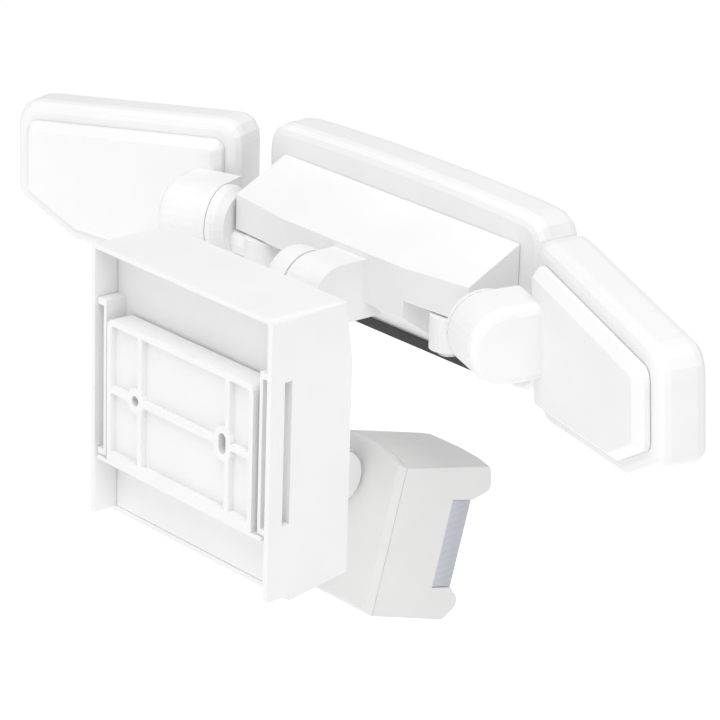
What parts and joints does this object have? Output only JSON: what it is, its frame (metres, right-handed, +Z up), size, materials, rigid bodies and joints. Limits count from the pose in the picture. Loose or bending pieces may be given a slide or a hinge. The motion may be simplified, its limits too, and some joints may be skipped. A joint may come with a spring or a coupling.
{
  "type": "floodlight",
  "caption": "White motion-sensing floodlight: a wall box on a slide-in bracket carries a wide tilting centre lamp, side lamps on elbows and a sensor pod below.",
  "frame": {"origin": "centre of the wall bracket on its rear face, which rests on the wall", "axes": "+Y into the wall, so the lamps face -Y; +Z up; +X to the right of somebody who stands behind the wall"},
  "size_m": [0.4665, 0.1685, 0.2223],
  "materials": {
    "white_plastic": "satin moulded white",
    "grey_white_plastic": "satin moulded off-white",
    "black_rubber": "matte",
    "plated_steel": "zinc plated",
    "brass": "plain",
    "circuit_board": "green solder mask",
    "white_board": "white solder mask",
    "cell_skin": "shrink sleeve",
    "clear_lens": "clear moulded lens",
    "sensor_lens": "translucent milky lens"
  },
  "bodies": {
    "base": {"wall_bracket": "white_plastic", "box_housing": "white_plastic", "box_rear_plate": "white_plastic", "box_gasket": "black_rubber", "cell_tray": "grey_white_plastic", "contact_strip_top": "brass", "contact_strip_bottom": "brass", "cell_1": "cell_skin", "cell_2": "cell_skin", "cell_3": "cell_skin", "cell_4": "cell_skin", "control_board": "circuit_board", "box_screw_1": "plated_steel", "box_screw_2": "plated_steel", "box_screw_3": "plated_steel", "box_screw_4": "plated_steel", "neck_base": "white_plastic", "neck_insert": "brass", "sensor_base": "white_plastic", "sensor_pan_pin": "plated_steel"},
    "centre_lamp": {"centre_rear_cover": "white_plastic", "centre_frame": "white_plastic", "centre_lens": "clear_lens", "centre_seal": "black_rubber", "centre_reflector": "grey_white_plastic", "centre_led_board": "white_board", "neck_bolt": "plated_steel", "right_swivel_screw": "plated_steel", "left_swivel_screw": "plated_steel"},
    "right_elbow_body": {"right_elbow": "white_plastic", "right_tilt_insert": "brass"},
    "left_elbow_body": {"left_elbow": "white_plastic", "left_tilt_insert": "brass"},
    "right_lamp": {"right_rear_cover": "white_plastic", "right_frame": "white_plastic", "right_lens": "clear_lens", "right_seal": "black_rubber", "right_reflector": "grey_white_plastic", "right_led_board": "white_board", "right_tilt_bolt": "plated_steel"},
    "left_lamp": {"left_rear_cover": "white_plastic", "left_frame": "white_plastic", "left_lens": "clear_lens", "left_seal": "black_rubber", "left_reflector": "grey_white_plastic", "left_led_board": "white_board", "left_tilt_bolt": "plated_steel"},
    "sensor_link_body": {"sensor_link": "white_plastic"},
    "sensor_pod": {"sensor_back_cover": "white_plastic", "sensor_housing": "white_plastic", "sensor_window": "sensor_lens", "sensor_board": "circuit_board", "pyro_sensor": "plated_steel", "sensor_tilt_bolt": "plated_steel"},
    "time_dial_body": {"time_dial": "grey_white_plastic"},
    "range_dial_body": {"range_dial": "grey_white_plastic"},
    "mode_slider_body": {"mode_slider": "grey_white_plastic"}
  },
  "joints": [
    {"name": "centre_tilt", "type": "hinge", "parent": "base", "child": "centre_lamp", "pos_m": [0, -0.08, 0.046], "axis": [1, 0, 0], "range_deg": [-30, 25]},
    {"name": "right_swivel", "type": "hinge", "parent": "centre_lamp", "child": "right_elbow_body", "pos_m": [0.066, -0.101, 0.051], "axis": [0, 0, 1], "range_deg": [-12, 20]},
    {"name": "right_tilt", "type": "hinge", "parent": "right_elbow_body", "child": "right_lamp", "pos_m": [0.06814, -0.10682, 0.051], "axis": [0.9385, 0.3453, 0], "range_deg": [-30, 30]},
    {"name": "left_swivel", "type": "hinge", "parent": "centre_lamp", "child": "left_elbow_body", "pos_m": [-0.066, -0.101, 0.051], "axis": [0, 0, 1], "range_deg": [-20, 12]},
    {"name": "left_tilt", "type": "hinge", "parent": "left_elbow_body", "child": "left_lamp", "pos_m": [-0.06814, -0.10682, 0.051], "axis": [0.9385, -0.3453, 0], "range_deg": [-30, 30]},
    {"name": "sensor_pan", "type": "hinge", "parent": "base", "child": "sensor_link_body", "pos_m": [0, -0.06, -0.047], "axis": [0, 0, 1], "range_deg": [-20, 20]},
    {"name": "sensor_tilt", "type": "hinge", "parent": "sensor_link_body", "child": "sensor_pod", "pos_m": [0, -0.091, -0.047], "axis": [1, 0, 0], "range_deg": [-15, 15]},
    {"name": "time_setting", "type": "hinge", "parent": "sensor_pod", "child": "time_dial_body", "pos_m": [-0.014, -0.11166, -0.1167], "axis": [0, -0.2588, 0.9659], "range_deg": [-135, 135]},
    {"name": "range_setting", "type": "hinge", "parent": "sensor_pod", "child": "range_dial_body", "pos_m": [0.014, -0.11166, -0.1167], "axis": [0, -0.2588, 0.9659], "range_deg": [-135, 135]},
    {"name": "mode_setting", "type": "slide", "parent": "sensor_pod", "child": "mode_slider_body", "axis": [1, 0, 0], "range_m": [-0.0025, 0.0025]}
  ]
}
